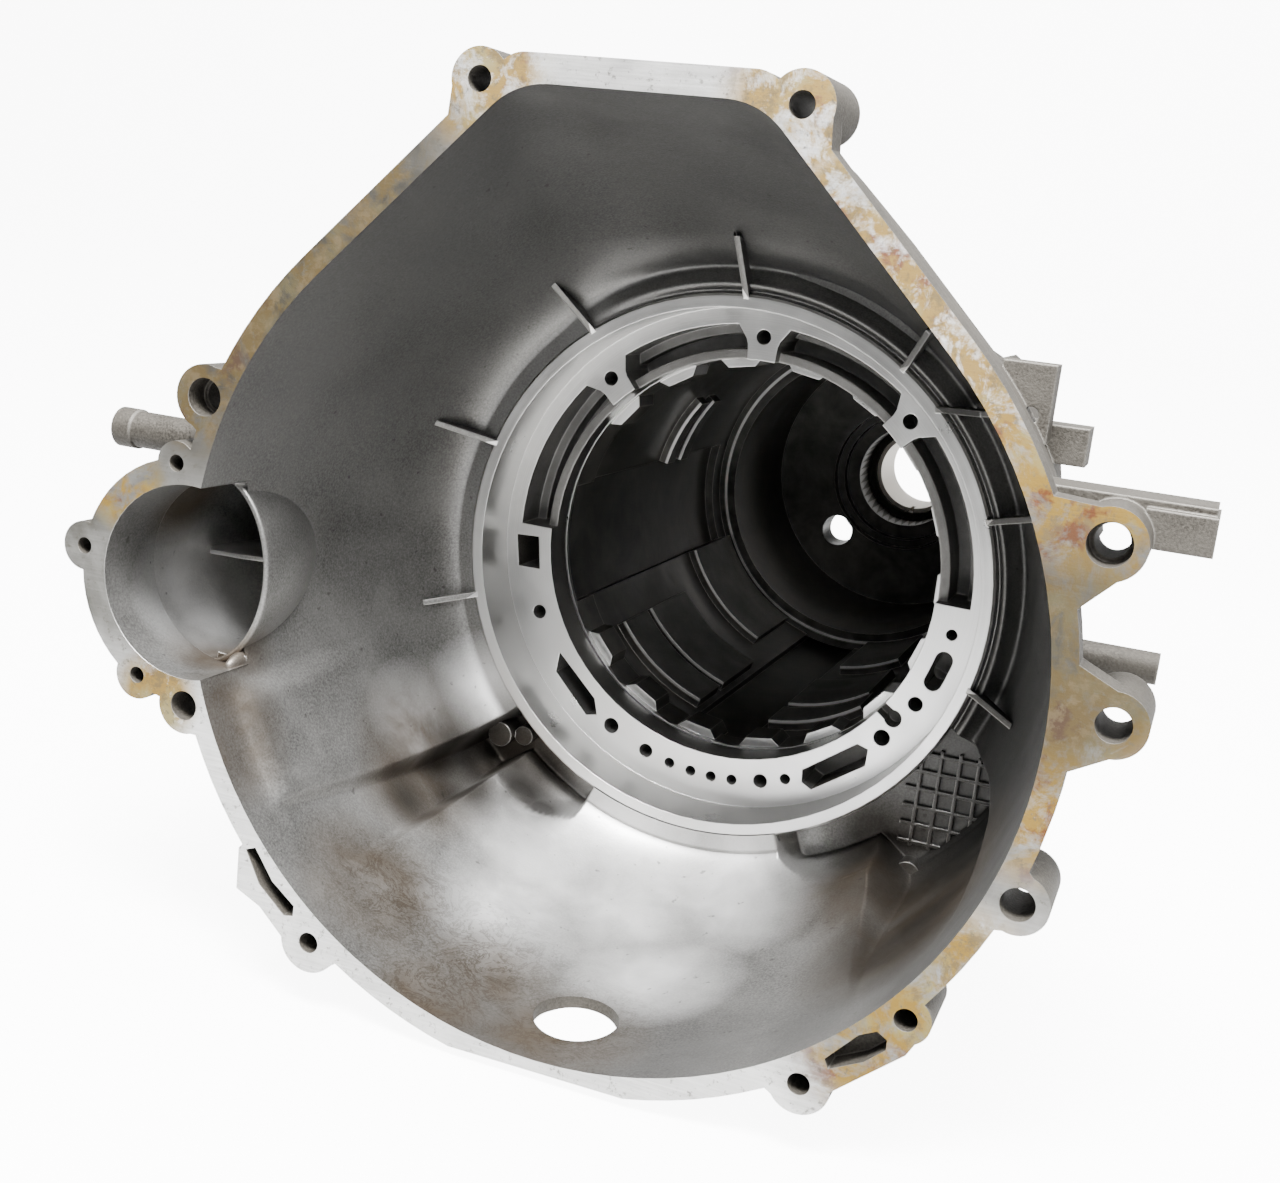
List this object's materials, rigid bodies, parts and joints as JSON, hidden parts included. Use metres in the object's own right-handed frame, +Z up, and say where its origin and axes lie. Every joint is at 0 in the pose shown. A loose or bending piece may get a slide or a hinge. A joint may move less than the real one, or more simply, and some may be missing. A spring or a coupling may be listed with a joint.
{
  "type": "gearbox housing",
  "caption": "Cast gearbox housing with an integral bell housing, a round pump bore, a ribbed gear cavity and a bushed output bore at the tail.",
  "frame": {"origin": "centre of the pump bore, on the flat seat at its foot", "axes": "+Y runs from the engine face to the tail, +Z is up, +X is to the right when looking into the bell"},
  "size_m": [0.503, 0.7635, 0.428],
  "materials": {
    "casting": "as cast, machined on the engine face, the pump bore and the tail",
    "bush": "turned"
  },
  "bodies": {
    "root": {"case_casting": "casting", "rear_case_bush": "bush"}
  },
  "joints": []
}
